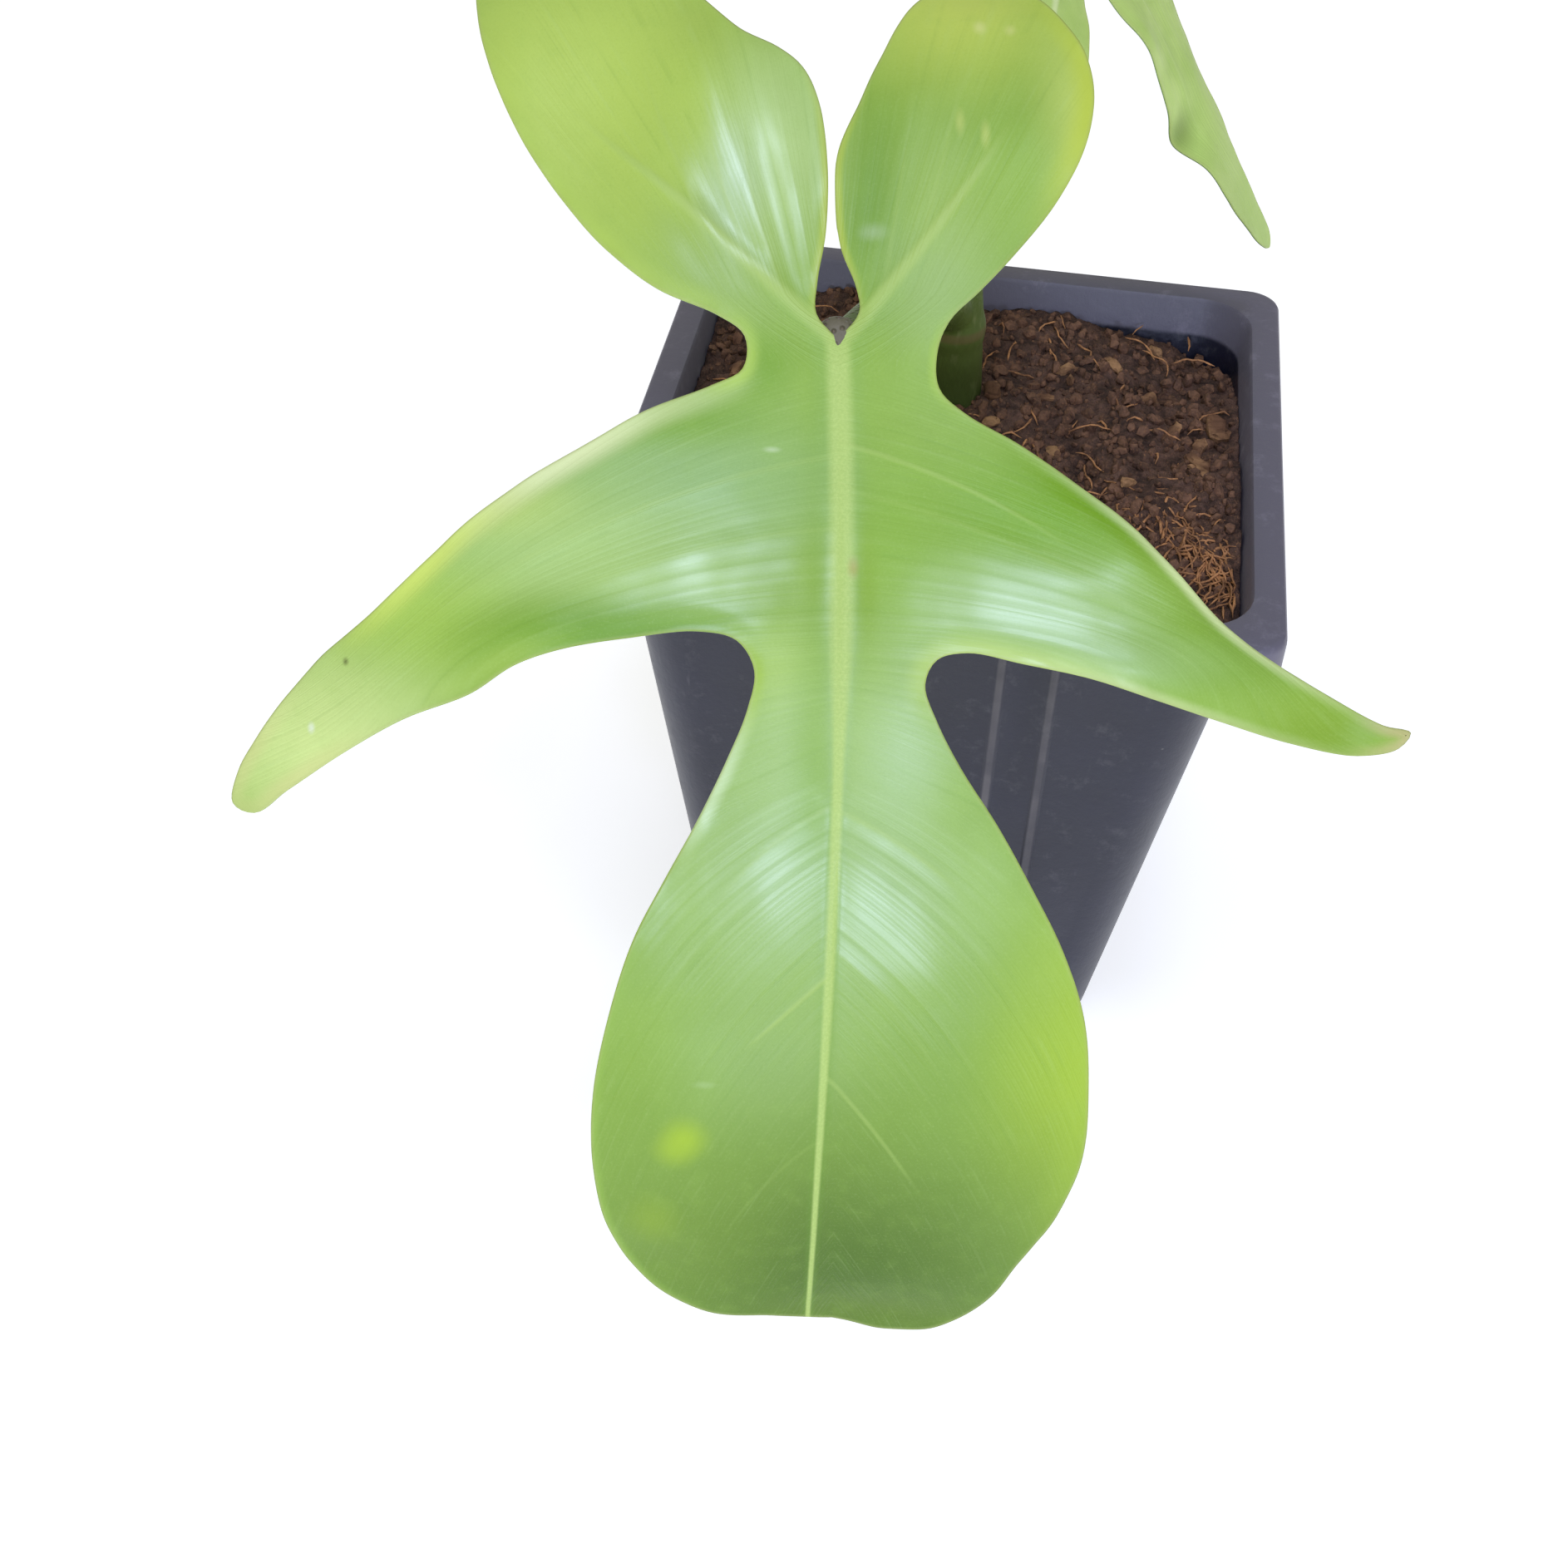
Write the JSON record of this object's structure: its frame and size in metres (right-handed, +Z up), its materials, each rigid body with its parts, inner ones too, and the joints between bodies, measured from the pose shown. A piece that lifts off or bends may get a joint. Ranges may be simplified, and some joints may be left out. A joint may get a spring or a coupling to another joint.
{
  "type": "potted philodendron",
  "caption": "Young lobed-leaf philodendron in a square nursery pot; stands on its flat base as a small house plant.",
  "frame": {"origin": "middle of the pot's flat base, where it meets the table", "axes": "+Z up through the pot; -Y towards the side over which the large leaf hangs; +X to the right of that side"},
  "size_m": [0.1231, 0.2188, 0.1831],
  "materials": {
    "pot": "thin black moulded plastic with a dull blue-grey sheen, dusty at the rim",
    "soil": "dark damp peat with bark chips and tan coir fibre",
    "stem": "dark green stem, warty brown-green leaf stalks",
    "leaf_front": "waxy mint green with lighter veins and a thin cream margin",
    "leaf_back": "waxy yellow-green, paler and duller below"
  },
  "bodies": {
    "root": {"pot": "pot", "soil": "soil", "stem": "stem", "leaf_front": "leaf_front", "leaf_back": "leaf_back"}
  },
  "joints": []
}
